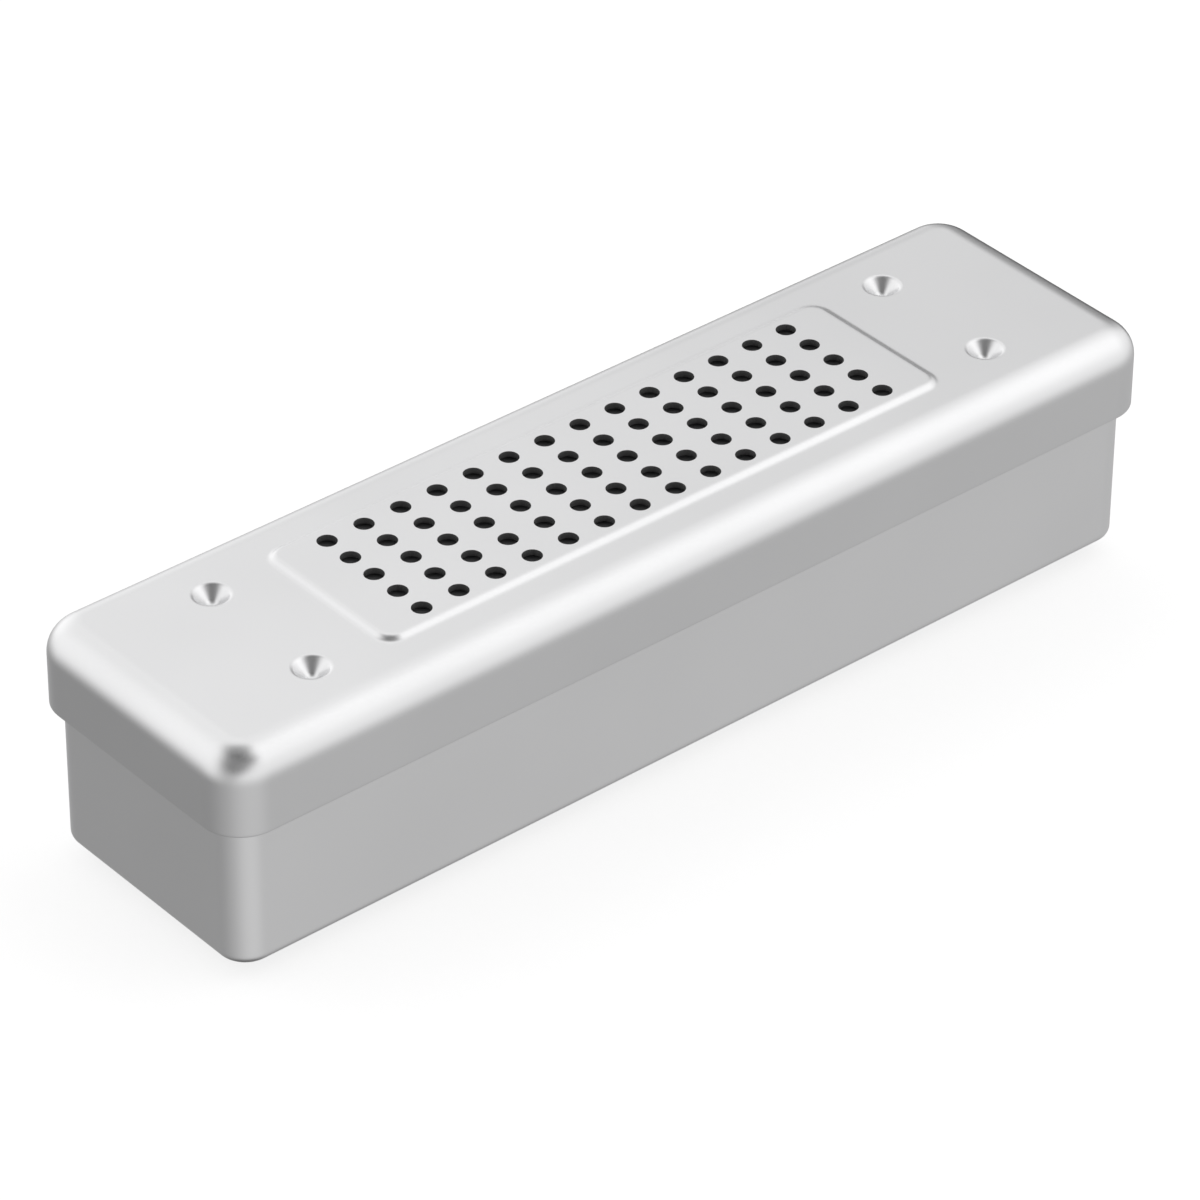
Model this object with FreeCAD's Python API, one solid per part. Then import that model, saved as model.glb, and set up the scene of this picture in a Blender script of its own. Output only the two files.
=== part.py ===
import FreeCAD, Part
import math
import os

# Sterilization container: a drawn tub on four feet, a slip-on lid with a vented panel, a filter
# held under that panel, and a perforated tray with two folding handles and a silicone mat.
# The origin is on the ground under the middle. +X runs along the length, +Y across it, +Z up.
# All sizes are in millimetres and degrees.

# Whole container
overall_length = 260.0
overall_width = 70.0
closed_height = 56.0  # from the tub's underside to the flat of the lid
running_gap = 0.3  # between pieces that move past each other
pin_gap = 0.05  # radial, between a pin and its hole
weld_gap = 0.1  # between pieces of the lid that are fitted side by side
least_radius = 1.0  # smallest plan corner of any pressed sheet
punch_sides = 10  # perforations are flat-sided, with the flats at their stated width
turned_sides = 12  # small turned pieces are flat-sided where nothing turns on them
inner_facets = 4  # flat facets in each plan corner of the pieces inside the container
bend_steps = 3  # straight facets in a quarter turn of bent wire

# Lid shell
lid_sheet = 1.5
lid_skirt = 20.0  # from the flat of the lid to its lower edge
lid_corner = 10.0  # plan radius of the corners
lid_edge = 7.5  # radius between the flat and the skirt
inner_bevel = 3.5  # bevel that follows that radius on the inside

# Raised vent panel in the lid, with a blended side all round
panel_side_border = 5.3  # flat strip between the panel and the lid's rounded edge
panel_end_border = 43.3
panel_corner = 5.3
panel_rise = 0.9
panel_slope = 35.0
panel_blend = 1.8
panel_facets = 6  # flat facets in each plan corner

# Vent holes
vent_diameter = 4.6
vent_pitch_x = 10.0
vent_pitch_y = 8.0
vent_margin_x = 12.0
vent_margin_y = 5.0

# Stacking dimples in the lid, and the feet of the same pattern under the tub
seat_end_inset = 35.0  # from the lid's end to the dimple's centre
seat_side_inset = 18.0
seat_diameter = 9.0
seat_depth = 2.5
foot_height = 3.5
foot_diameter = 7.5
foot_tip_diameter = 4.0

# Tub shell
tub_sheet = 1.2
tub_edge = 2.4  # radius between the floor and the wall
skirt_gap = 1.6  # between the tub's wall and the inside of the lid's skirt
bead_height = 2.8  # rolled bead round the tub's mouth
bead_bevel = 0.8

# Lid seal and the channel that holds it
seal_height = 5.0
channel_sheet = 0.8
channel_lip = 4.0

# Filter and the retainer under it
filter_thickness = 0.6
filter_margin = 2.4  # how far the filter laps past the panel
filter_corner = 6.0
retainer_sheet = 0.8
pan_depth = 2.8
pan_draft = 1.6
retainer_slot_length = 14.0
retainer_slot_width = 5.0
retainer_slot_pitch_x = 20.0
retainer_slot_pitch_y = 11.0
tongue_width = 21.0
tongue_corner = 4.0
joggle_run = 3.0

# Quarter-turn latches under the lid, each on a welded stud with a shoulder screw
latch_length = 16.0
latch_width = 7.0
latch_sheet = 1.2
latch_tab = 1.8  # height of the finger tabs bent down at both ends
latch_bend = 1.0
latch_play = 0.1
slot_clearance = 0.5  # round a latch that is turned in line with its slot
stud_diameter = 6.0
stud_flange_diameter = 7.5
stud_flange_height = 0.7
thread_diameter = 3.0
thread_length = 3.8
shoulder_diameter = 4.0
washer_diameter = 7.6
washer_thickness = 0.5
screw_head_diameter = 6.5
screw_head_height = 1.5
screw_slot_width = 1.0
screw_slot_depth = 0.7

# Tray
tray_sheet = 1.0
tray_gap = 3.2  # between the tray's lip and the inside of the tub
tray_lip = 1.5
tray_corner = 6.0
tray_edge = 1.8  # bevel between the floor and the wall
tray_height = 26.0
skid_height = 2.0  # ribs pressed down across the tray's floor, which it stands on
skid_width = 8.0
skid_length = 34.0
skid_inset = 13.0  # from the tray's end to the middle of the rib
tray_slot_length = 20.0
tray_slot_width = 5.0
tray_slot_pitch_x = 28.0
tray_slot_pitch_y = 14.0
tray_slot_margin = 10.0
wall_slot_length = 18.0
wall_slot_width = 5.0
wall_slot_drop = 12.0  # from the tray's rim to the middle of its wall slots

# Silicone mat
mat_gap = 2.0
mat_corner = 4.0
mat_thickness = 6.0

# Wire handles, folded inward over the tray at rest
handle_wire = 2.5
handle_arm = 22.0  # from the pivot to the cross bar
handle_inset = 9.0  # from the tray's end to the pivot
handle_drop = 4.0  # from the tray's rim to the pivot
handle_pin_reach = 2.0  # past the outside of the tray's wall
handle_bend = 2.2
handle_grip_bend = 5.0
stop_width = 6.0
stop_reach = 3.6
stop_offset = 6.0  # from the pivot to the near edge of the stop

# Levels, from the ground up
tub_bottom = foot_height
tub_floor = tub_bottom + tub_sheet
lid_top = tub_bottom + closed_height
lid_inside = lid_top - lid_sheet
skirt_bottom = lid_top - lid_skirt
seal_bottom = lid_inside - seal_height
rim_top = seal_bottom - running_gap
retainer_top = lid_inside - filter_thickness
pan_top = retainer_top - pan_depth
tongue_bottom = pan_top - retainer_sheet
latch_top = tongue_bottom - running_gap
latch_bottom = latch_top - latch_sheet
stud_end = latch_top + latch_play
washer_top = latch_bottom - latch_play
washer_bottom = washer_top - washer_thickness
screw_bottom = washer_bottom - screw_head_height
tray_underside = tub_floor + skid_height
tray_floor = tray_underside + tray_sheet
tray_rim = tray_underside + tray_height
pivot_z = tray_rim - handle_drop

# Places that several pieces share
tub_offset = lid_sheet + skirt_gap
bead_offset = lid_sheet + running_gap
channel_offset = lid_edge + weld_gap
tray_offset = tub_offset + tub_sheet + tray_gap + tray_lip
panel_half_length = overall_length / 2 - lid_edge - panel_end_border
panel_half_width = overall_width / 2 - lid_edge - panel_side_border
filter_half_length = panel_half_length + filter_margin
filter_half_width = panel_half_width + filter_margin
seat_x = overall_length / 2 - seat_end_inset
seat_y = overall_width / 2 - seat_side_inset
key_slot_length = latch_length + 2 * slot_clearance
key_slot_width = latch_width + 2 * slot_clearance
latch_x = filter_half_length + joggle_run + key_slot_length / 2 + least_radius
tongue_end = latch_x + key_slot_length / 2 + tongue_corner
tray_half_length = overall_length / 2 - tray_offset
tray_half_width = overall_width / 2 - tray_offset
pivot_x = tray_half_length - handle_inset
corner_signs = [(-1, -1), (1, -1), (-1, 1), (1, 1)]

UP = FreeCAD.Vector(0, 0, 1)


def vec(x, y, z):
    return FreeCAD.Vector(x, y, z)


def outline(offset):
    """Half length, half width and corner radius of a line this far inside the lid's outer wall."""
    return overall_length / 2 - offset, overall_width / 2 - offset, max(lid_corner - offset, least_radius)


def corner_places(size):
    """The centre and the first angle of each rounded corner of a plan."""
    dx, dy = size[0] - size[2], size[1] - size[2]
    return [(dx, dy, 0), (-dx, dy, 90), (-dx, -dy, 180), (dx, -dy, 270)]


def faceted_plan(size, z, facets):
    """The points of a rectangle at height z, with faceted corners."""
    return [arc_point(x, y, z, size[2], start + 90 * i / facets)
            for x, y, start in corner_places(size) for i in range(facets + 1)]


def plan_wire(size, z, facets=0):
    """A closed wire at height z: a rectangle with round corners, or with faceted ones."""
    if facets:
        return closed_wire(faceted_plan(size, z, facets))
    radius, corners = size[2], corner_places(size)
    edges = []
    for i, (x, y, start) in enumerate(corners):
        next_x, next_y, next_start = corners[(i + 1) % 4]
        edges.append(Part.makeCircle(radius, vec(x, y, z), UP, start, start + 90))
        edges.append(Part.makeLine(arc_point(x, y, z, radius, start + 90),
                                   arc_point(next_x, next_y, z, radius, next_start)))
    return Part.Wire(edges)


def closed_wire(points):
    return Part.makePolygon(points + points[:1])


def stack(rings):
    """A flat-faced solid through level outlines whose sides are parallel."""
    faces = [Part.Face(closed_wire(rings[0])), Part.Face(closed_wire(rings[-1]))]
    for lower, upper in zip(rings, rings[1:]):
        for i in range(len(lower)):
            j = (i + 1) % len(lower)
            faces.append(Part.Face(closed_wire([lower[i], lower[j], upper[j], upper[i]])))
    return Part.makeSolid(Part.makeShell(faces))


def arc_point(x, y, z, radius, degrees):
    """A point on a level circle about (x, y)."""
    turn = math.radians(degrees)
    return vec(x + radius * math.cos(turn), y + radius * math.sin(turn), z)


def prism(size, low, high, facets=0):
    """An upright block on a rounded plan."""
    return Part.Face(plan_wire(size, low, facets)).extrude(vec(0, 0, high - low))


def edges_at(shape, z):
    """The edges that lie at one height."""
    return [e for e in shape.Edges if abs(e.BoundBox.ZMin - z) < 1e-3 and abs(e.BoundBox.ZMax - z) < 1e-3]


def rounded_top(size, low, high, radius):
    block = prism(size, low, high)
    return block.makeFillet(radius, edges_at(block, high))


def beveled_top(size, low, high, leg):
    sides = prism(size, low, high - leg, inner_facets)
    return sides.fuse(frustum(size, grown(size, -leg), high - leg, high))


def beveled_base(size, low, high, leg):
    sides = prism(size, low + leg, high, inner_facets)
    return sides.fuse(frustum(grown(size, -leg), size, low, low + leg))


def rounded_base(size, low, high, radius):
    block = prism(size, low, high)
    return block.makeFillet(radius, edges_at(block, low))


def frustum(lower, upper, low, high):
    """A solid whose plan changes evenly from one faceted rectangle to another."""
    return stack([faceted_plan(lower, low, inner_facets), faceted_plan(upper, high, inner_facets)])


def grown(size, amount):
    """The same outline moved outward by an amount, or inward by a negative one."""
    half_length, half_width, radius = size
    return half_length + amount, half_width + amount, max(radius + amount, 0.3)


def ring_points(radius, sides, x, y, z):
    """The corners of a level, regular polygon."""
    return [arc_point(x, y, z, radius, 360 * (i + 0.5) / sides) for i in range(sides)]


def punch(length, width, low, high, centre=(0, 0)):
    """A block for cutting a perforation: round where its length is its width, else a slot along X."""
    reach = (length - width) / 2
    ends = ring_points(width / 2 / math.cos(math.pi / punch_sides), punch_sides, 0, 0, low)
    points = [p + vec(centre[0] + math.copysign(reach, p.x), centre[1], 0) for p in ends]
    return Part.Face(closed_wire(points)).extrude(vec(0, 0, high - low))


def rod(radius, low, high, x=0, y=0):
    return taper(radius, radius, low, high, x, y)


def taper(low_radius, high_radius, low, high, x=0, y=0):
    """A small turned cone or cylinder, with flat sides."""
    return stack([ring_points(radius, turned_sides, x, y, z)
                  for radius, z in [(low_radius, low), (high_radius, high)]])


def journal(radius, low, high, x=0, y=0):
    """A truly round rod, for a pin or a hole that something turns on."""
    return Part.makeCylinder(radius, high - low, vec(x, y, low))


def centred_steps(pitch, count):
    """Positions of a row that is centred on zero."""
    return [(i - (count - 1) / 2) * pitch for i in range(count)]


def fitting_steps(pitch, room):
    """Positions of as many as fit in a length, centred on zero."""
    return centred_steps(pitch, int(max(room, 0) / pitch) + 1)


def make_lid_shell():
    shell = rounded_top(outline(0), skirt_bottom, lid_top, lid_edge)
    shell = shell.fuse(raised_panel(lid_top, 0))
    cavity = beveled_top(outline(lid_sheet), skirt_bottom - 1, lid_inside, inner_bevel)
    pocket = raised_panel(lid_inside, lid_sheet * math.tan(math.radians(panel_slope / 2)))
    return cut_vents(press_dimples(shell.cut([cavity, pocket])))


def raised_panel(base_z, inset):
    """The panel's outer form, or with an inset the hollow behind it. Its side is a slope with a
    blend at its foot and one at its head, each as one band along the blend's chord."""
    slope = math.radians(panel_slope)
    tangent = panel_blend * math.tan(slope / 2)
    width = panel_rise / math.tan(slope) + 2 * tangent
    run, rise = tangent * (1 + math.cos(slope)), tangent * math.sin(slope)
    base = (panel_half_length - inset, panel_half_width - inset, panel_corner)
    profile = [(0, 0), (run, rise), (width - run, panel_rise - rise), (width, panel_rise)]
    return stack([faceted_plan(grown(base, -x), base_z + z, panel_facets) for x, z in profile])


def press_dimples(shell):
    """Press the conical stacking seats down into the sheet, which bulges below them."""
    spread = seat_diameter / 2 / seat_depth
    inner_depth = seat_depth + lid_sheet * math.sqrt(1 + 1 / spread ** 2)
    start = lid_sheet / 2
    tip = lid_sheet / 4
    for sign_x, sign_y in corner_signs:
        x, y = sign_x * seat_x, sign_y * seat_y
        bulge = taper(tip * spread, (inner_depth - start) * spread,
                      lid_top - inner_depth + tip, lid_top - start, x, y)
        tip_ring = ring_points(tip / 4, 2 * turned_sides, x, y, lid_top - seat_depth + tip / 4 / spread)
        mouth = ring_points((seat_depth + 1) * spread, 2 * turned_sides, x, y, lid_top + 1)
        recess = stack([tip_ring, mouth])
        shell = shell.fuse(bulge).cut(recess)
    return shell


def cut_vents(shell):
    columns = fitting_steps(vent_pitch_x, 2 * (panel_half_length - vent_margin_x))
    rows = fitting_steps(vent_pitch_y, 2 * (panel_half_width - vent_margin_y))
    top = lid_top + panel_rise + 1
    holes = [punch(vent_diameter, vent_diameter, lid_inside - 1, top, (x, y)) for x in columns for y in rows]
    return shell.cut(holes)


def make_tub_shell():
    body = rounded_base(outline(tub_offset), tub_bottom, rim_top, tub_edge)
    bead = prism(outline(bead_offset), rim_top - bead_height, rim_top, inner_facets)
    bead = bead.makeChamfer(bead_bevel, edges_at(bead, rim_top) + edges_at(bead, rim_top - bead_height))
    inside = beveled_base(outline(tub_offset + tub_sheet), tub_floor, rim_top + 1,
                          max(tub_edge - tub_sheet, 0.4))
    return body.fuse(bead).cut(inside)


def make_foot(x, y):
    """A turned foot, welded under the tub, with a nose that fits the lid's dimples."""
    nose = (foot_diameter - foot_tip_diameter) / 2 * seat_depth / (seat_diameter / 2)
    cone = taper(foot_tip_diameter / 2, foot_diameter / 2, 0, nose, x, y)
    return cone.fuse(rod(foot_diameter / 2, nose, tub_bottom, x, y))


def make_seal_channel():
    """An angle section, welded under the lid, that keeps the seal against the skirt."""
    flange_offset = overall_width / 2 - filter_half_width - running_gap
    low = lid_inside - channel_lip
    ring = prism(outline(channel_offset), low, lid_inside, inner_facets)
    hollow = prism(outline(channel_offset + channel_sheet), low - 1, lid_inside - channel_sheet, inner_facets)
    window = prism(outline(flange_offset), low - 1, lid_inside + 1, inner_facets)
    return ring.cut([hollow, window])


def make_lid_seal():
    """The seal fills the corner under the lid's edge and ends just above the tub's bead."""
    slack = weld_gap / 2
    body = beveled_top(outline(lid_sheet + slack), seal_bottom, lid_inside - slack, inner_bevel)
    return body.cut(prism(outline(lid_edge), seal_bottom - 1, lid_top, inner_facets))


def make_filter_sheet():
    size = (filter_half_length, filter_half_width, filter_corner)
    return prism(size, retainer_top, lid_inside, inner_facets)


def make_filter_retainer():
    """A shallow slotted pan with a flat flange, and a joggled tongue at each end."""
    flange_low = retainer_top - retainer_sheet
    rim = (filter_half_length, filter_half_width, filter_corner)
    plate = prism(rim, flange_low, retainer_top, inner_facets)
    mouth = (panel_half_length - filter_margin / 2, panel_half_width - filter_margin / 2, panel_corner)
    dish = frustum(grown(mouth, -pan_draft), mouth, tongue_bottom, flange_low)
    hollow = frustum(grown(mouth, -pan_draft - retainer_sheet), grown(mouth, -retainer_sheet),
                     pan_top, retainer_top)
    plate = plate.fuse([dish, make_tongue(), make_tongue().rotate(vec(0, 0, 0), UP, 180)]).cut(hollow)
    columns = fitting_steps(retainer_slot_pitch_x, 2 * panel_half_length - 2 * retainer_slot_length)
    rows = fitting_steps(retainer_slot_pitch_y, 2 * panel_half_width - 3 * retainer_slot_width)
    cuts = [punch(retainer_slot_length, retainer_slot_width, tongue_bottom - 1, retainer_top, (x, y))
            for x in columns for y in rows]
    cuts += [punch(key_slot_length, key_slot_width, tongue_bottom - 1, retainer_top + 1, (side * latch_x, 0))
             for side in (-1, 1)]
    return plate.cut(cuts)


def make_tongue():
    """The tongue at the +X end: it steps down from the flange to the level of the pan's floor."""
    start = filter_half_length - filter_margin
    bend = filter_half_length + least_radius - joggle_run / 2
    shift = retainer_sheet * math.tan(math.atan2(pan_depth, joggle_run) / 2)
    step = [(start, retainer_top), (bend, retainer_top), (bend + joggle_run, pan_top),
            (tongue_end, pan_top), (tongue_end, tongue_bottom),
            (bend + joggle_run - shift, tongue_bottom), (bend - shift, retainer_top - retainer_sheet),
            (start, retainer_top - retainer_sheet)]
    points = [vec(x, -tongue_width / 2, z) for x, z in step]
    strip = Part.Face(closed_wire(points)).extrude(vec(0, tongue_width, 0))
    tip = (tongue_end, tongue_width / 2, tongue_corner)
    return strip.common(prism(tip, tongue_bottom, retainer_top, inner_facets))


def make_latch_stud(x):
    flange_low = lid_inside - stud_flange_height
    body = rod(stud_diameter / 2, stud_end, lid_inside, x)
    body = body.fuse(rod(stud_flange_diameter / 2, flange_low, lid_inside, x))
    return body.cut(rod(thread_diameter / 2, stud_end, stud_end + thread_length + latch_play, x))


def make_latch_screw(x):
    head = rod(screw_head_diameter / 2, screw_bottom, washer_bottom, x)
    shoulder = journal(shoulder_diameter / 2, washer_bottom, stud_end, x)
    thread = rod(thread_diameter / 2, stud_end, stud_end + thread_length, x)
    groove = Part.makeBox(screw_head_diameter + 2, screw_slot_width, screw_slot_depth,
                          vec(x - screw_head_diameter / 2 - 1, -screw_slot_width / 2, screw_bottom))
    return head.fuse([shoulder, thread]).cut(groove)


def make_latch_washer(x):
    ring = rod(washer_diameter / 2, washer_bottom, washer_top, x)
    return ring.cut(journal(shoulder_diameter / 2 + pin_gap, washer_bottom - 1, washer_top + 1, x))


def make_turn_latch(x):
    """A bar on the shoulder screw, across its slot at rest, with a finger tab bent at each end."""
    low = latch_bottom - latch_tab
    bar = Part.makeBox(latch_width, latch_length, latch_top - low, vec(x - latch_width / 2, -latch_length / 2, low))
    bends = [e for e in edges_at(bar, latch_top) if e.BoundBox.YLength < 1e-3]
    bar = bar.makeChamfer(latch_bend, bends)
    gap = Part.makeBox(latch_width + 2, latch_length - 2 * latch_sheet, latch_tab,
                       vec(x - latch_width / 2 - 1, latch_sheet - latch_length / 2, low))
    return bar.cut([gap, journal(shoulder_diameter / 2 + pin_gap, low, latch_top + 1, x)])


def make_tray_shell():
    body_size = (tray_half_length, tray_half_width, tray_corner)
    body = beveled_base(body_size, tray_underside, tray_rim, tray_edge)
    body = body.fuse(prism(grown(body_size, tray_lip), tray_rim - tray_sheet, tray_rim, inner_facets))
    body = body.fuse([skid(-1, 0), skid(1, 0)])
    hollow = beveled_base(grown(body_size, -tray_sheet), tray_floor, tray_rim + 1,
                          max(tray_edge - tray_sheet, 0.4))
    body = body.cut([hollow, skid(-1, tray_sheet), skid(1, tray_sheet)])
    body = body.cut(tray_floor_slots() + tray_wall_slots() + handle_holes())
    return body.fuse(handle_stops())


def skid(side, inset):
    """A rib pressed down across the tray's floor near one end, or with an inset the groove inside it."""
    x = side * (tray_half_length - skid_inset)
    top, foot = skid_width / 2 - inset / 2, skid_width / 4 - inset / 2
    low, high = tub_floor + inset, tray_floor
    half_length = skid_length / 2 - inset
    points = [vec(x - top, -half_length, high), vec(x - foot, -half_length, low),
              vec(x + foot, -half_length, low), vec(x + top, -half_length, high)]
    return Part.Face(closed_wire(points)).extrude(vec(0, 2 * half_length, 0))


def tray_floor_slots():
    columns = fitting_steps(tray_slot_pitch_x, 2 * (tray_half_length - tray_slot_length - tray_slot_margin))
    rows = fitting_steps(tray_slot_pitch_y, 2 * (tray_half_width - tray_slot_margin))
    return [punch(tray_slot_length, tray_slot_width, tray_underside - 1, tray_floor + 1, (x, y))
            for x in columns for y in rows]


def tray_wall_slots():
    """Slots through both long walls, cut right across the tray."""
    middle_z = tray_rim - wall_slot_drop
    reach = tray_half_width + 1
    columns = fitting_steps(tray_slot_pitch_x, 2 * (pivot_x - stop_offset - tray_slot_pitch_x))
    cuts = []
    for x in columns:
        cut = punch(wall_slot_length, wall_slot_width, -reach, reach)
        cut.rotate(vec(0, 0, 0), vec(1, 0, 0), 90)
        cuts.append(cut.translated(vec(x, 0, middle_z)))
    return cuts


def handle_holes():
    """Holes for the handles' pins, through both long walls."""
    reach = tray_half_width + 1
    drill = journal(handle_wire / 2 + pin_gap, -reach, reach)
    drill.rotate(vec(0, 0, 0), vec(1, 0, 0), 90)
    return [drill.translated(vec(side * pivot_x, 0, pivot_z)) for side in (-1, 1)]


def handle_stops():
    """Tabs lanced inward from the long walls, just under the arms of the folded handles."""
    high = pivot_z - handle_wire / 2 - running_gap
    near = pivot_x - stop_offset - stop_width
    tabs = []
    for i, j in corner_signs:
        inner = tray_half_width - tray_sheet
        x_low = near if i > 0 else -near - stop_width
        y_low = inner - stop_reach if j > 0 else -inner - tray_sheet / 2
        tabs.append(Part.makeBox(stop_width, stop_reach + tray_sheet / 2, tray_sheet,
                                 vec(x_low, y_low, high - tray_sheet)))
    return tabs


def make_silicone_mat():
    gap = tray_sheet + mat_gap
    size = (tray_half_length - gap, tray_half_width - gap, mat_corner)
    return prism(size, tray_floor, tray_floor + mat_thickness, inner_facets)


def make_handle(side):
    """A wire bail: pin, arm, cross bar, arm and pin, in one bent rod lying flat. The pins are round."""
    arm_y = tray_half_width - tray_sheet - weld_gap - handle_bend
    grip_x = pivot_x - handle_arm
    half = bend_points(pivot_x - handle_bend, arm_y + handle_bend, handle_bend, 0, -90)
    half += bend_points(grip_x + handle_grip_bend, arm_y - handle_grip_bend, handle_grip_bend, 90, 180)
    path = half + [vec(p.x, -p.y, p.z) for p in reversed(half)]
    section = closed_wire(ring_points(handle_wire / 2, punch_sides, 0, 0, 0))
    section.rotate(vec(0, 0, 0), vec(1, 0, 0), 90)
    section.translate(half[0])
    bail = Part.makePolygon(path).makePipeShell([section], True, False, 1)
    pin_length = tray_half_width + handle_pin_reach - half[0].y
    pins = [Part.makeCylinder(handle_wire / 2, pin_length, vec(pivot_x, sign * half[0].y, pivot_z),
                              vec(0, sign, 0)) for sign in (-1, 1)]
    bail = bail.fuse(pins)
    if side < 0:
        bail.rotate(vec(0, 0, 0), UP, 180)
    return bail


def bend_points(x, y, radius, start, end):
    """Points of a bend of the handle's wire about (x, y)."""
    return [arc_point(x, y, pivot_z, radius, start + (end - start) * i / bend_steps)
            for i in range(bend_steps + 1)]


def make_parts():
    parts = {
        "tub_shell": make_tub_shell(),
        "lid_shell": make_lid_shell(),
        "seal_channel": make_seal_channel(),
        "lid_seal": make_lid_seal(),
        "filter_sheet": make_filter_sheet(),
        "filter_retainer": make_filter_retainer(),
        "tray_shell": make_tray_shell(),
        "silicone_mat": make_silicone_mat(),
    }
    for i, j in corner_signs:
        name = "foot_" + ("front" if j < 0 else "back") + ("_left" if i < 0 else "_right")
        parts[name] = make_foot(i * seat_x, j * seat_y)
    for side, word in [(-1, "left"), (1, "right")]:
        parts["latch_stud_" + word] = make_latch_stud(side * latch_x)
        parts["latch_screw_" + word] = make_latch_screw(side * latch_x)
        parts["latch_washer_" + word] = make_latch_washer(side * latch_x)
        parts["turn_latch_" + word] = make_turn_latch(side * latch_x)
        parts["handle_" + word] = make_handle(side)
    return parts


os.makedirs("parts", exist_ok=True)
for node, shape in make_parts().items():
    solid = shape.Solids[0] if len(shape.Solids) == 1 else shape
    solid.exportStep("parts/" + node + ".step")
    print(node, len(shape.Solids), "solid,", round(shape.Volume), "mm3, valid:", shape.isValid())
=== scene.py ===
import math

import bmesh
import bpy
from mathutils import Matrix, Vector


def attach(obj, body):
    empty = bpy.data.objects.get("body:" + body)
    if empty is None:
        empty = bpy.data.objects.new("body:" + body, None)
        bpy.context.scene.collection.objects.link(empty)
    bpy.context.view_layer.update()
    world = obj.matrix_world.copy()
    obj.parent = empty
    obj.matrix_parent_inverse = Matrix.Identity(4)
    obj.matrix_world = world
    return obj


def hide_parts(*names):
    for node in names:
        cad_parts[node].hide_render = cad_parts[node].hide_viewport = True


# The looks of the sterilization container. Shapes are written in millimetres and made in metres.
# The lengths and widths of rounded boxes are half sizes, and all angles are in degrees.
MM = 0.001

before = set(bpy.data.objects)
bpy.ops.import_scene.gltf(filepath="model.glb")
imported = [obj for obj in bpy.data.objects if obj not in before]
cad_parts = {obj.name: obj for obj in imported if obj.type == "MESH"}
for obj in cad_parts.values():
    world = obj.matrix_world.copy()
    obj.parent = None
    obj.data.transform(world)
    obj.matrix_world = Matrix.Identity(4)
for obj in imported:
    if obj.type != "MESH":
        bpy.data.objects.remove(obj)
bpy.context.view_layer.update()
scene = bpy.context.scene

# All shapes
GUARD = 0.6  # from a bend to the extra points that keep its shading off the flat beside it
LANDING = 0.5  # from a bend to the first or last ring on the flat
LEAST_CORNER = 0.4
CUT = 1.0  # the least that a cutter reaches past the sheet
SMOOTH_ANGLE = 40.0  # sharper edges than this aren't smoothed
CORNERS = [(1, 1), (-1, 1), (-1, -1), (1, -1)]

# Lid shell
LID_LENGTH, LID_WIDTH = 130.0, 35.0
LID_TOP, LID_SHEET, SKIRT_BOTTOM = 59.5, 1.5, 39.5
LID_CORNER, LID_EDGE, LID_BEVEL = 10.0, 7.5, 3.5
HEM, HEM_RING = 0.2, 0.8  # radius of the skirt's lower edges, and height of the ring above them
PANEL_LENGTH, PANEL_WIDTH, PANEL_CORNER = 79.2, 22.2, 5.3
PANEL_RISE, PANEL_SLOPE, PANEL_BLEND = 0.9, 35.0, 1.8
VENT_RADIUS, VENT_COLUMNS, VENT_ROWS, VENT_PITCH_X, VENT_PITCH_Y = 2.3, 14, 5, 10.0, 8.0
SEAT_X, SEAT_Y = 95.0, 17.0
# The dimples are steeper and deeper than the solid's, as their shading in the photograph shows
SEAT_RADIUS, SEAT_WALL, SEAT_DEPTH, SEAT_RIM = 4.15, 45.0, 3.15, 1.4
# Their arcs stop short of the axis, where a ring would have no size, and of the flat
BULGE_START, RECESS_START, RIM_END = -86, -84, 92

# Tub shell and feet
TUB_OFFSET, BEAD_OFFSET = 3.1, 1.8  # distances inside the lid's outline
TUB_BOTTOM, TUB_SHEET, TUB_EDGE, RIM_TOP = 3.5, 1.2, 2.4, 52.7
BEAD_HEIGHT, BEAD_EDGE, BEAD_CREASE, RIM_EDGE = 2.8, 1.2, 0.2, 0.5
FOOT_SECTION = [(1.7, 0.0), (2.0, 0.12), (3.5, 0.92), (3.75, 1.22), (3.75, 3.8)]

# Tray
TRAY_LENGTH, TRAY_WIDTH, TRAY_CORNER, TRAY_EDGE = 121.0, 26.0, 6.0, 1.8
TRAY_SHEET, TRAY_UNDERSIDE, TRAY_RIM = 1.0, 6.7, 32.7
TRAY_FLOOR = TRAY_UNDERSIDE + TRAY_SHEET
TRAY_LIP, LIP_EDGE, LIP_CREASE, RIM_BEND, FLOOR_BEND = 1.5, 0.35, 0.3, 0.7, 0.8
SKID_X, SKID_LENGTH, SKID_WIDTH, SKID_CORNER = 108.0, 2.0, 15.0, 1.8
# Growth of a skid's outline at each height, on its outside and in the hollow behind it
SKID_OUTSIDE = [(-0.4, 4.7), (0.0, 5.0), (1.9, 6.5), (1.9, 7.2)]
SKID_INSIDE = [(-0.9, 5.7), (-0.6, 6.0), (1.3, 7.5), (2.0, 8.2)]
# Slots are given by their full lengths and width
SLOT_WIDTH, SLOT_PITCH = 5.0, 28.0
FLOOR_SLOT, FLOOR_COLUMNS, FLOOR_ROWS, FLOOR_ROW_PITCH = 20.0, 7, 3, 14.0
SIDE_SLOT, SIDE_COLUMNS, SIDE_SLOT_Z = 18.0, 6, 20.7
PIN_HOLE = 1.3
# The stops that the handles lie on reach a little into the tray's wall
STOP_X, STOP_LENGTH, STOP_WIDTH, STOP_CORNER, STOP_ROOT = 103.0, 3.0, 2.05, 0.6, 0.5
STOP_SECTION = [(-0.15, 26.15), (0.0, 26.3), (0.0, 27.0), (-0.15, 27.15)]

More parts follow.
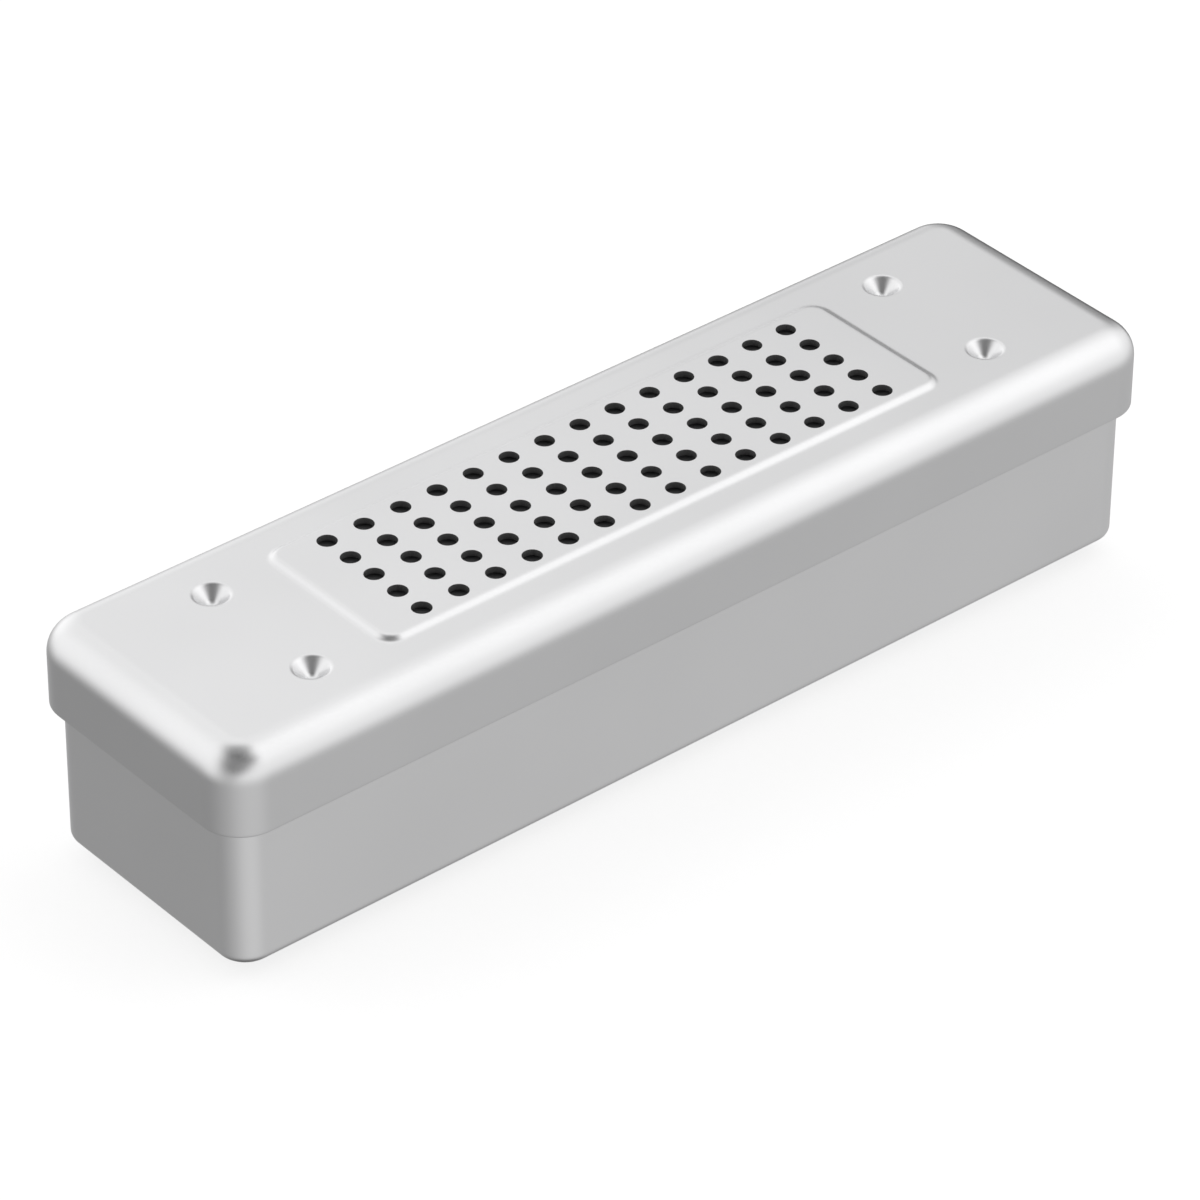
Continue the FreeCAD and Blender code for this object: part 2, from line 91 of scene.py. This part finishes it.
# Mat
MAT_LENGTH, MAT_WIDTH, MAT_CORNER = 118.0, 23.0, 4.0
MAT_BASE, MAT_HOLE, NUB_PITCH, NUB_COLUMNS, NUB_ROWS = 9.6, 1.3, 7.0, 33, 6
MAT_SECTION = [(1.0, 7.7), (0.3, 7.7), (0.0, 8.0), (0.0, 9.2), (0.4, 9.6), (1.0, 9.6)]
NUB_SECTION = [(2.0, 9.1), (1.75, 10.0), (1.1, 13.0), (0.75, 13.5), (0.3, 13.7)]

# Handles, from the pin in the tray's wall over the bend beside it to the arm and the grip
WIRE, WIRE_SIDES = 1.25, 20
PIVOT_X, PIVOT_Z, PIN_Y, PIN_WALL_Y, ARM_Y = 112.0, 28.7, 28.0, 26.0, 22.7
GRIP_X, GRIP_Y, ARM_BEND, GRIP_BEND = 90.0, 10.0, 2.2, 5.0


def steps(pitch, count):
    """Positions of a row that is centred on zero."""
    return [(i - (count - 1) / 2) * pitch for i in range(count)]


def arc(x, z, radius, start, end, count):
    """Points of an arc in a section, with this many straight parts."""
    turns = [math.radians(start + (end - start) * i / count) for i in range(count + 1)]
    return [(x + radius * math.cos(t), z + radius * math.sin(t)) for t in turns]


def plan_ring(half_x, half_y, radius, z, facets=14):
    """A level rounded rectangle. A point on each straight side, just beside the corner, keeps the
    corner's shading off the flat wall."""
    points = []
    along_x = Vector((min(GUARD, (half_x - radius) / 2), 0))
    along_y = Vector((0, min(GUARD, (half_y - radius) / 2)))
    for k, (i, j) in enumerate(CORNERS):
        x, y = i * (half_x - radius), j * (half_y - radius)
        bend = arc(x, y, radius, 90 * k, 90 * k + 90, facets)
        before, after = -j * along_y, -i * along_x
        if k % 2:
            before, after = after, before
        bend = [Vector(bend[0]) + before] + bend + [Vector(bend[-1]) + after]
        points += [(p[0], p[1], z) for p in bend]
    return points


def offset_rings(section, half_x, half_y, radius, facets=14):
    """Rings for a section given as (distance inside the outline, height)."""
    return [plan_ring(half_x - d, half_y - d, max(radius - d, LEAST_CORNER), z, facets)
            for d, z in section]


def shifted(ring, x, y=0.0):
    return [(px + x, py + y, pz) for px, py, pz in ring]


def turned(section, x=0.0, y=0.0, sides=40):
    """Level circles for a turned piece, from (radius, height)."""
    turns = [2 * math.pi * i / sides for i in range(sides)]
    return [[(x + r * math.cos(t), y + r * math.sin(t), z) for t in turns] for r, z in section]


def solids(name, ring_lists):
    """One object of closed lofts, each through rings of equal length with capped ends."""
    points, faces = [], []
    for rings in ring_lists:
        count, base = len(rings[0]), len(points)
        points += [Vector(p) * MM for ring in rings for p in ring]
        for k in range(len(rings) - 1):
            a, b = base + k * count, base + (k + 1) * count
            faces += [(a + i, a + (i + 1) % count, b + (i + 1) % count, b + i)
                      for i in range(count)]
        last = base + (len(rings) - 1) * count
        faces += [tuple(range(base, base + count))[::-1], tuple(range(last, last + count))]
    mesh = bpy.data.meshes.new(name)
    mesh.from_pydata(points, [], faces)
    made = bmesh.new()
    made.from_mesh(mesh)
    bmesh.ops.recalc_face_normals(made, faces=made.faces)
    made.to_mesh(mesh)
    made.free()
    piece = bpy.data.objects.new(name, mesh)
    scene.collection.objects.link(piece)
    return piece


def combine(piece, operation, ring_lists, material=None):
    """Cut solids out of a piece, or join them to it."""
    tool = solids("tool", ring_lists)
    if material:
        tool.data.materials.append(material)
    change = piece.modifiers.new("change", "BOOLEAN")
    change.operation, change.solver, change.object = operation, "EXACT", tool
    change.material_mode = "TRANSFER"
    graph = bpy.context.evaluated_depsgraph_get()
    old = piece.data
    piece.data = bpy.data.meshes.new_from_object(piece.evaluated_get(graph))
    piece.data.name = piece.name
    piece.modifiers.clear()
    bpy.data.meshes.remove(old)
    bpy.data.objects.remove(tool)


def finish_piece(piece, body, slot, *nodes):
    """Clean and shade the piece, say what it rides on, and hide the CAD nodes that it stands for.
    """
    made = bmesh.new()
    made.from_mesh(piece.data)
    bmesh.ops.remove_doubles(made, verts=made.verts, dist=1e-7)
    many_sided = [face for face in made.faces if len(face.verts) > 4]
    bmesh.ops.triangulate(made, faces=many_sided, ngon_method="BEAUTY")
    made.to_mesh(piece.data)
    made.free()
    piece.data.shade_smooth()
    piece.data.set_sharp_from_angle(angle=math.radians(SMOOTH_ANGLE))
    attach(piece, body)
    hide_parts(*nodes)


# Materials

MOST_NOISE = (0.3, 0.7)  # the range in which most of a noise's values lie
BROAD_SIZE, TONE_CHANGE, ROUGHNESS_CHANGE = 60.0, 0.015, 0.02
METAL_GRAIN_HEIGHT, METAL_GRAIN_STRENGTH = 0.002, 0.6
# A Mix node's sockets for two colours and their mix, and for two numbers
COLOUR_A, COLOUR_B, COLOUR_MIX, NUMBER_A, NUMBER_B = 6, 7, 2, 2, 3


def new_material(name, **values):
    """A material with values set on its shader's own sockets."""
    material = bpy.data.materials.new(name)
    material.use_nodes = True
    shader = material.node_tree.nodes["Principled BSDF"]
    for key, value in values.items():
        shader.inputs[key.title()].default_value = value
    return material, material.node_tree, shader


def add_node(tree, kind, **values):
    """A node, with values for its settings or, with spaces as underscores, for its sockets."""
    made = tree.nodes.new(kind)
    for key, value in values.items():
        if hasattr(made, key):
            setattr(made, key, value)
        else:
            made.inputs[key.replace("_", " ")].default_value = value
    return made


def surface_noise(tree, size, stretch=(1, 1, 1), detail=3.0):
    """Noise in the object's own space, with features of about this size in millimetres."""
    place = add_node(tree, "ShaderNodeTexCoord")
    scale = add_node(tree, "ShaderNodeMapping")
    scale.inputs["Scale"].default_value = [k / (size * MM) for k in stretch]
    tree.links.new(place.outputs["Object"], scale.inputs["Vector"])
    noise = add_node(tree, "ShaderNodeTexNoise", Scale=1.0, Detail=detail)
    tree.links.new(scale.outputs["Vector"], noise.inputs["Vector"])
    return noise.outputs["Fac"]


def map_range(tree, value, start, end, low, high, kind="LINEAR"):
    """Map a value's range onto another range."""
    made = add_node(tree, "ShaderNodeMapRange", interpolation_type=kind,
                    From_Min=start, From_Max=end, To_Min=low, To_Max=high)
    tree.links.new(value, made.inputs["Value"])
    return made.outputs["Result"]


def tint(tree, value, dark, light):
    mix = add_node(tree, "ShaderNodeMix", data_type="RGBA")
    mix.inputs[COLOUR_A].default_value = (*dark, 1)
    mix.inputs[COLOUR_B].default_value = (*light, 1)
    tree.links.new(value, mix.inputs["Factor"])
    return mix.outputs[COLOUR_MIX]


def bump(tree, shader, value, height, strength=1.0):
    made = add_node(tree, "ShaderNodeBump", Strength=strength, Distance=height * MM)
    tree.links.new(value, made.inputs["Height"])
    tree.links.new(made.outputs["Normal"], shader.inputs["Normal"])


def seen_directly(tree):
    """1 where the camera looks at this straight on or through glass, and 0 in all other light."""
    path = add_node(tree, "ShaderNodeLightPath")
    seen = add_node(tree, "ShaderNodeMath", operation="MAXIMUM")
    tree.links.new(path.outputs["Is Camera Ray"], seen.inputs[0])
    tree.links.new(path.outputs["Is Transmission Ray"], seen.inputs[1])
    return seen.outputs[0]


def metal(name, shade, roughness, grain, stretch=(1, 1, 1)):
    """Bare or anodised metal: broad unevenness of tone, and a fine grain with uneven roughness."""
    material, tree, shader = new_material(name, metallic=1.0)
    broad = surface_noise(tree, BROAD_SIZE, detail=2.0)
    fine = surface_noise(tree, grain, stretch, detail=1.0)
    dark = [c - TONE_CHANGE for c in shade]
    light = [c + TONE_CHANGE for c in shade]
    tone = tint(tree, map_range(tree, broad, *MOST_NOISE, 0, 1), dark, light)
    tree.links.new(tone, shader.inputs["Base Color"])
    uneven = map_range(tree, fine, *MOST_NOISE,
                       roughness - ROUGHNESS_CHANGE, roughness + ROUGHNESS_CHANGE)
    tree.links.new(uneven, shader.inputs["Roughness"])
    bump(tree, shader, fine, METAL_GRAIN_HEIGHT, METAL_GRAIN_STRENGTH)
    return material


def mottled(name, size, dark, light, grain=None, height=0.0, **values):
    """A material with patches of two close tones, and with a fine grain if it is given a size."""
    material, tree, shader = new_material(name, **values)
    tone = tint(tree, surface_noise(tree, size), dark, light)
    tree.links.new(tone, shader.inputs["Base Color"])
    if grain:
        bump(tree, shader, surface_noise(tree, grain), height)
    return material


lid_metal = metal("satin_lid", (0.72, 0.72, 0.725), 0.30, 0.6)
tub_metal = metal("satin_tub", (0.80, 0.80, 0.805), 0.32, 0.6)
tray_metal = metal("polished_tray", (0.64, 0.64, 0.65), 0.24, 0.5)
wire_metal = metal("polished_wire", (0.68, 0.68, 0.69), 0.12, 0.8)
steel = metal("brushed_steel", (0.60, 0.60, 0.61), 0.30, 0.25, (0.04, 1, 1))
turned_steel = metal("turned_steel", (0.64, 0.64, 0.65), 0.18, 0.25)
# The vent holes' walls are painted dark grey, as painted shade inside the holes
vent_wall_painted_shade = mottled("vent_wall_painted_shade", 0.6, (0.13, 0.13, 0.13), (0.19, 0.19, 0.19),
                    metallic=0.6, roughness=0.6)
mat_rubber = mottled("silicone", 8.0, (0.20, 0.36, 0.50), (0.24, 0.41, 0.56),
                     0.3, 0.01, roughness=0.5)
seal_rubber = mottled("seal_silicone", 6.0, (0.50, 0.51, 0.52), (0.58, 0.59, 0.60),
                      0.3, 0.01, roughness=0.55)
# The filter sheet under the vents is made near black, as painted shade seen through the holes
filter_cloth_painted_shade = mottled("filter_membrane", 0.4, (0.15, 0.15, 0.155), (0.20, 0.20, 0.205),
                       0.4, 0.05, roughness=0.9)


# Lid

def panel_rings(level, inset):
    """Rings of the raised panel's side, from its foot inward, at a level of the flat."""
    tangent = PANEL_BLEND * math.tan(math.radians(PANEL_SLOPE / 2))
    width = PANEL_RISE / math.tan(math.radians(PANEL_SLOPE)) + 2 * tangent
    section = [(-LANDING, 0.0)]
    section += arc(0, PANEL_BLEND, PANEL_BLEND, -90, -90 + PANEL_SLOPE, 6)
    section += arc(width, PANEL_RISE - PANEL_BLEND, PANEL_BLEND, 90 + PANEL_SLOPE, 90, 6)
    section.append((section[-1][0] + LANDING, PANEL_RISE))
    placed = [(d + inset, level + z) for d, z in section]
    return offset_rings(placed, PANEL_LENGTH, PANEL_WIDTH, PANEL_CORNER)


def lid_rings():
    """The lid's sheet: down the panel's side, over the edge, round the hem and back inside."""
    edge_z = LID_TOP - LID_EDGE
    inside = LID_TOP - LID_SHEET
    hem_z = SKIRT_BOTTOM + HEM
    outer = [(LID_EDGE + LANDING, LID_TOP)] + arc(LID_EDGE, edge_z, LID_EDGE, 90, 180, 18)
    outer += [(0.0, edge_z - GUARD), (0.0, SKIRT_BOTTOM + HEM_RING)]
    hem = arc(HEM, hem_z, HEM, 180, 270, 4) + arc(LID_SHEET - HEM, hem_z, HEM, 270, 360, 4)
    flat = LID_SHEET + LID_BEVEL
    inner = [(LID_SHEET, SKIRT_BOTTOM + HEM_RING), (LID_SHEET, inside - LID_BEVEL),
             (flat, inside), (flat + 2 * LANDING, inside)]
    rings = panel_rings(LID_TOP, 0.0)[::-1]
    rings += offset_rings(outer + hem + inner, LID_LENGTH, LID_WIDTH, LID_CORNER)
    pocket_inset = LID_SHEET * math.tan(math.radians(PANEL_SLOPE / 2))
    return rings + panel_rings(inside, pocket_inset)


def seat_sections():
    """A dimple's bulge below the sheet and its recess above, both as (radius, height)."""
    wall = math.radians(SEAT_WALL)
    bowl = (SEAT_RADIUS * math.tan(wall) - SEAT_DEPTH) / (1 / math.cos(wall) - 1)
    centre = LID_TOP - SEAT_DEPTH + bowl
    middle = LID_TOP - LID_SHEET / 2
    bulge = arc(0, centre, bowl + LID_SHEET, BULGE_START, SEAT_WALL - 90, 6)
    bulge.append((bulge[-1][0] + (middle - bulge[-1][1]) / math.tan(wall), middle))
    mouth = SEAT_RADIUS + SEAT_RIM * math.tan(wall / 2)
    recess = arc(0, centre, bowl, RECESS_START, SEAT_WALL - 90, 6)
    recess += arc(mouth, LID_TOP - SEAT_RIM, SEAT_RIM, 90 + SEAT_WALL, RIM_END, 6)
    recess.append((recess[-1][0], LID_TOP + CUT))
    return bulge, recess


def make_lid():
    lid = solids("lid_cover", [lid_rings()])
    lid.data.materials.append(lid_metal)
    bulge, recess = seat_sections()
    combine(lid, "UNION", [turned(bulge, i * SEAT_X, j * SEAT_Y) for i, j in CORNERS])
    recesses = [turned(recess, i * SEAT_X, j * SEAT_Y, sides=56) for i, j in CORNERS]
    combine(lid, "DIFFERENCE", recesses)
    vent = [(VENT_RADIUS, LID_TOP - LID_SHEET - CUT), (VENT_RADIUS, LID_TOP + PANEL_RISE + CUT)]
    vents = [turned(vent, x, y, sides=32)
             for x in steps(VENT_PITCH_X, VENT_COLUMNS) for y in steps(VENT_PITCH_Y, VENT_ROWS)]
    # The holes' cut walls get the dark material, which is painted shade
    combine(lid, "DIFFERENCE", vents, vent_wall_painted_shade)
    finish_piece(lid, "lid", "lid_aluminium", "lid_shell")


# Tub

def make_tub():
    wall, inside = TUB_OFFSET, TUB_OFFSET + TUB_SHEET
    floor, floor_bend = TUB_BOTTOM + TUB_SHEET, TUB_EDGE - TUB_SHEET
    bead_low, bead_x = RIM_TOP - BEAD_HEIGHT, BEAD_OFFSET + BEAD_EDGE
    base = arc(wall + TUB_EDGE, TUB_BOTTOM + TUB_EDGE, TUB_EDGE, 270, 180, 8)
    outer = [(base[0][0] + LANDING, TUB_BOTTOM)] + base
    outer += [(wall, TUB_BOTTOM + TUB_EDGE + GUARD), (wall, bead_low - BEAD_CREASE)]
    bead = arc(bead_x, bead_low + BEAD_EDGE, BEAD_EDGE, 250, 180, 5)
    bead += arc(bead_x, RIM_TOP - BEAD_EDGE, BEAD_EDGE, 180, 90, 6)
    bead += arc(inside - RIM_EDGE, RIM_TOP - RIM_EDGE, RIM_EDGE, 90, 0, 4)
    inner = [(inside, RIM_TOP - BEAD_EDGE), (inside, floor + floor_bend + GUARD)]
    inner += arc(inside + floor_bend, floor + floor_bend, floor_bend, 180, 270, 6)
    inner.append((inside + floor_bend + LANDING, floor))
    rings = offset_rings(outer + bead + inner, LID_LENGTH, LID_WIDTH, LID_CORNER)
    tub = solids("tub_body", [rings])
    tub.data.materials.append(tub_metal)
    finish_piece(tub, "tub", "tub_aluminium", "tub_shell")


def make_foot(i, j, word):
    foot = solids(f"foot_turned_{word}", [turned(FOOT_SECTION, i * SEAT_X, j * SEAT_Y)])
    foot.data.materials.append(tub_metal)
    finish_piece(foot, "tub", "foot_aluminium", f"foot_{word}")


# Tray, mat and handles

def slot_rings(length, width, low, high, x=0.0, y=0.0, sides=32):
    """A slot-shaped block along X."""
    reach, radius = (length - width) / 2, width / 2
    turns = [2 * math.pi * (i + 0.5) / sides for i in range(sides)]
    outline = [(math.copysign(reach, math.cos(t)) + radius * math.cos(t), radius * math.sin(t))
               for t in turns]
    return [[(x + px, y + py, z) for px, py in outline] for z in (low, high)]


def turned_up(rings, z):
    """Turn upright rings onto their side, so that they run along Y at this height."""
    return [[(px, -pz, z + py) for px, py, pz in ring] for ring in rings]


def tray_rings():
    """The tray's sheet: up the outside, over the rolled lip and down the inside."""
    edge, inside = TRAY_EDGE, TRAY_SHEET
    lip_x, lip_low = LIP_EDGE - TRAY_LIP, TRAY_RIM - TRAY_SHEET
    base = arc(edge, TRAY_UNDERSIDE + edge, edge, 270, 180, 6)
    outer = [(base[0][0] + LANDING, TRAY_UNDERSIDE)] + base
    outer += [(0.0, TRAY_UNDERSIDE + edge + GUARD), (0.0, lip_low - LIP_CREASE)]
    lip = [(-LIP_CREASE, lip_low)] + arc(lip_x, lip_low + LIP_EDGE, LIP_EDGE, 270, 180, 3)
    lip += arc(lip_x, TRAY_RIM - LIP_EDGE, LIP_EDGE, 180, 90, 3)
    lip += arc(inside - RIM_BEND, TRAY_RIM - RIM_BEND, RIM_BEND, 90, 0, 4)
    inner = [(inside, TRAY_RIM - 2 * RIM_BEND), (inside, TRAY_FLOOR + FLOOR_BEND + GUARD)]
    inner += arc(inside + FLOOR_BEND, TRAY_FLOOR + FLOOR_BEND, FLOOR_BEND, 180, 270, 5)
    inner.append((inside + FLOOR_BEND + LANDING, TRAY_FLOOR))
    return offset_rings(outer + lip + inner, TRAY_LENGTH, TRAY_WIDTH, TRAY_CORNER, facets=10)


def skid_rings(side, section):
    return [shifted(plan_ring(SKID_LENGTH + g, SKID_WIDTH + g, SKID_CORNER + g, z, facets=6),
                    side * SKID_X) for g, z in section]


def stop_rings(i, j):
    x, y = i * STOP_X, j * (TRAY_WIDTH - TRAY_SHEET - STOP_WIDTH + STOP_ROOT)
    return [shifted(plan_ring(STOP_LENGTH + g, STOP_WIDTH + g, STOP_CORNER, z, facets=4), x, y)
            for g, z in STOP_SECTION]


def make_tray():
    tray = solids("tray_pressed", [tray_rings()])
    tray.data.materials.append(tray_metal)
    combine(tray, "UNION", [skid_rings(side, SKID_OUTSIDE) for side in (-1, 1)])
    combine(tray, "DIFFERENCE", [skid_rings(side, SKID_INSIDE) for side in (-1, 1)])
    low, high = TRAY_UNDERSIDE - CUT, TRAY_FLOOR + CUT
    floor_slots = [slot_rings(FLOOR_SLOT, SLOT_WIDTH, low, high, x, y)
                   for x in steps(SLOT_PITCH, FLOOR_COLUMNS)
                   for y in steps(FLOOR_ROW_PITCH, FLOOR_ROWS)]
    combine(tray, "DIFFERENCE", floor_slots)
    reach = TRAY_WIDTH + 3 * CUT
    wall_cuts = [turned_up(slot_rings(SIDE_SLOT, SLOT_WIDTH, -reach, reach, x), SIDE_SLOT_Z)
                 for x in steps(SLOT_PITCH, SIDE_COLUMNS)]
    pin_hole = [(PIN_HOLE, -reach), (PIN_HOLE, reach)]
    wall_cuts += [turned_up(turned(pin_hole, side * PIVOT_X, sides=24), PIVOT_Z)
                  for side in (-1, 1)]
    combine(tray, "DIFFERENCE", wall_cuts)
    combine(tray, "UNION", [stop_rings(i, j) for i, j in CORNERS])
    finish_piece(tray, "tray", "tray_steel", "tray_shell")


def make_mat():
    """The mat's sheet, its nubs and the holes between them."""
    sheet = offset_rings(MAT_SECTION, MAT_LENGTH, MAT_WIDTH, MAT_CORNER, facets=6)
    mat = solids("nubbed_mat", [sheet])
    mat.data.materials.append(mat_rubber)
    nubs = [turned(NUB_SECTION, x, y, sides=12)
            for x in steps(NUB_PITCH, NUB_COLUMNS) for y in steps(NUB_PITCH, NUB_ROWS)]
    combine(mat, "UNION", nubs)
    hole = [(MAT_HOLE, TRAY_FLOOR - CUT), (MAT_HOLE, MAT_BASE + CUT)]
    holes = [turned(hole, x, y, sides=12)
             for x in steps(NUB_PITCH, NUB_COLUMNS - 1) for y in steps(NUB_PITCH, NUB_ROWS - 1)]
    combine(mat, "DIFFERENCE", holes)
    finish_piece(mat, "tray", "mat_silicone", "silicone_mat")


def make_handle(side, word):
    """Sweep a round section along the handle's bent line."""
    line = [(PIVOT_X, PIN_Y), (PIVOT_X, PIN_WALL_Y)]
    line += arc(PIVOT_X - ARM_BEND, ARM_Y + ARM_BEND, ARM_BEND, 0, -90, 8)
    line += arc(GRIP_X + GRIP_BEND, ARM_Y - GRIP_BEND, GRIP_BEND, 90, 180, 12)
    line.append((GRIP_X, GRIP_Y))
    line += [(x, -y) for x, y in reversed(line)]
    turns = [2 * math.pi * i / WIRE_SIDES for i in range(WIRE_SIDES)]
    rings = []
    for k, (x, y) in enumerate(line):
        ahead = Vector(line[min(k + 1, len(line) - 1)]) - Vector(line[max(k - 1, 0)])
        across = Vector((-ahead.y, ahead.x)).normalized() * WIRE
        rings.append([(side * (x + across.x * math.cos(t)), y + across.y * math.cos(t),
                       PIVOT_Z + WIRE * math.sin(t)) for t in turns])
    handle = solids(f"wire_handle_{word}", [rings])
    handle.data.materials.append(wire_metal)
    finish_piece(handle, f"bail_{word}", "handle_steel", f"handle_{word}")


def dress(node, material):
    """Give a node that is kept from the CAD model its material."""
    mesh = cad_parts[node].data
    mesh.materials.clear()
    mesh.materials.append(material)


make_lid()
make_tub()
make_foot(-1, -1, "front_left")
make_foot(1, -1, "front_right")
make_foot(-1, 1, "back_left")
make_foot(1, 1, "back_right")
make_tray()
make_mat()
make_handle(-1, "left")
make_handle(1, "right")
for flat_node in ("seal_channel", "filter_retainer", "turn_latch_left", "turn_latch_right",
                  "latch_stud_left", "latch_stud_right"):
    dress(flat_node, steel)
for turned_node in ("latch_screw_left", "latch_screw_right",
                    "latch_washer_left", "latch_washer_right"):
    dress(turned_node, turned_steel)
dress("lid_seal", seal_rubber)
# The filter's near black is painted shade in the vent holes
dress("filter_sheet", filter_cloth_painted_shade)


# Floor, light and camera

FLOOR_REACH = 4.0  # metres
FLOOR_COLOUR, FLOOR_GLOW = (0.40, 0.40, 0.40, 1), (0.72, 0.72, 0.72, 1)
WHITE = (1, 1, 1, 1)

# The tent's levels, and the sines of the elevations between which its ground becomes its sky
GROUND_LEVEL, SKY_LEVEL, HORIZON_START, HORIZON_END = 0.55, 1.12, -0.52, 0.14
# Its light and dark areas: azimuth from +Y towards +X and elevation of the middle, inner and
# outer radius, and the factor inside
SKY_AREAS = [(122, 50, 10, 46, 1.28), (-40, 34, 10, 42, 1.10), (5, 8, 4, 34, 1.25)]
GROUND_AREAS = [(-45, -25, 15, 75, 0.60), (-168, -20, 10, 55, 1.30), (0, -90, 12, 46, 0.30)]
OPENINGS = [(-131, 46, 16, 50, 0.26), (174, 54, 6, 26, 0.48), (-105, 84, 14, 34, 0.32),
            (-115, 8, 6, 42, 0.60), (54, 15, 2, 28, 0.27), (51, -15, 10, 24, 0.08)]

SENSOR, LENS = 36.0, 188.826
HEADING, TILT, LEAN = 40.410, 35.0945, 0.4276
CAMERA_PLACE = (-733.643, -858.829, 818.191)


def make_floor():
    """A pale floor that looks white, keeps the object's shadow and isn't seen in reflections."""
    reach = FLOOR_REACH
    corners = [(-reach, -reach, 0), (reach, -reach, 0), (reach, reach, 0), (-reach, reach, 0)]
    mesh = bpy.data.meshes.new("floor")
    mesh.from_pydata(corners, [], [(0, 1, 2, 3)])
    floor = bpy.data.objects.new("floor", mesh)
    scene.collection.objects.link(floor)
    material = bpy.data.materials.new("pale_floor")
    material.use_nodes = True
    tree = material.node_tree
    tree.nodes.clear()
    diffuse = add_node(tree, "ShaderNodeBsdfDiffuse", Color=FLOOR_COLOUR)
    glow = add_node(tree, "ShaderNodeEmission", Color=FLOOR_GLOW)
    tree.links.new(seen_directly(tree), glow.inputs["Strength"])
    both = add_node(tree, "ShaderNodeAddShader")
    out = add_node(tree, "ShaderNodeOutputMaterial")
    tree.links.new(diffuse.outputs[0], both.inputs[0])
    tree.links.new(glow.outputs[0], both.inputs[1])
    tree.links.new(both.outputs[0], out.inputs["Surface"])
    mesh.materials.append(material)
    floor.visible_glossy = False


def make_world():
    """A soft tent that the metal reflects: bright above the horizon, grey below it, with dark
    openings. The camera sees plain white instead."""
    world = bpy.data.worlds.new("tent")
    scene.world = world
    world.use_nodes = True
    tree = world.node_tree
    tree.nodes.clear()
    place = add_node(tree, "ShaderNodeTexCoord")

    def along(axis):
        dot = add_node(tree, "ShaderNodeVectorMath", operation="DOT_PRODUCT")
        dot.inputs[1].default_value = axis
        tree.links.new(place.outputs["Generated"], dot.inputs[0])
        return dot.outputs["Value"]

    def ease(value, start, end, low, high):
        return map_range(tree, value, start, end, low, high, "SMOOTHSTEP")

    def shaped(level, areas):
        """A level, as a number or a socket, times the factors of these areas."""
        for azimuth, elevation, inner, outer, factor in areas:
            turn, rise = math.radians(azimuth), math.radians(elevation)
            axis = (math.sin(turn) * math.cos(rise), math.cos(turn) * math.cos(rise),
                    math.sin(rise))
            angle = add_node(tree, "ShaderNodeMath", operation="ARCCOSINE")
            tree.links.new(along(axis), angle.inputs[0])
            area = ease(angle.outputs[0], math.radians(inner), math.radians(outer), factor, 1.0)
            product = add_node(tree, "ShaderNodeMath", operation="MULTIPLY")
            tree.links.new(area, product.inputs[0])
            if isinstance(level, float):
                product.inputs[1].default_value = level
            else:
                tree.links.new(level, product.inputs[1])
            level = product.outputs[0]
        return level

    blend = add_node(tree, "ShaderNodeMix", data_type="FLOAT")
    horizon = ease(along((0, 0, 1)), HORIZON_START, HORIZON_END, 0.0, 1.0)
    tree.links.new(horizon, blend.inputs["Factor"])
    tree.links.new(shaped(GROUND_LEVEL, GROUND_AREAS), blend.inputs[NUMBER_A])
    tree.links.new(shaped(SKY_LEVEL, SKY_AREAS), blend.inputs[NUMBER_B])
    light = add_node(tree, "ShaderNodeBackground", Color=WHITE)
    tree.links.new(shaped(blend.outputs[0], OPENINGS), light.inputs["Strength"])
    white = add_node(tree, "ShaderNodeBackground", Color=WHITE, Strength=1.0)
    mix = add_node(tree, "ShaderNodeMixShader")
    tree.links.new(seen_directly(tree), mix.inputs["Fac"])
    tree.links.new(light.outputs[0], mix.inputs[1])
    tree.links.new(white.outputs[0], mix.inputs[2])
    out = add_node(tree, "ShaderNodeOutputWorld")
    tree.links.new(mix.outputs[0], out.inputs["Surface"])


def make_camera():
    """The photograph's own view."""
    data = bpy.data.cameras.new("camera")
    data.sensor_width = SENSOR
    data.lens = LENS
    camera = bpy.data.objects.new("camera", data)
    scene.collection.objects.link(camera)
    heading, tilt, lean = math.radians(HEADING), math.radians(TILT), math.radians(LEAN)
    ahead = Vector((math.sin(heading) * math.cos(tilt), math.cos(heading) * math.cos(tilt),
                    -math.sin(tilt)))
    level = ahead.cross(Vector((0, 0, 1))).normalized()
    upright = level.cross(ahead)
    right = level * math.cos(lean) + upright * math.sin(lean)
    up = upright * math.cos(lean) - level * math.sin(lean)
    turn = Matrix((right, up, -ahead)).transposed()
    camera.matrix_world = Matrix.Translation(Vector(CAMERA_PLACE) * MM) @ turn.to_4x4()
    scene.camera = camera


make_floor()
make_world()
make_camera()
scene.view_settings.view_transform = "Standard"
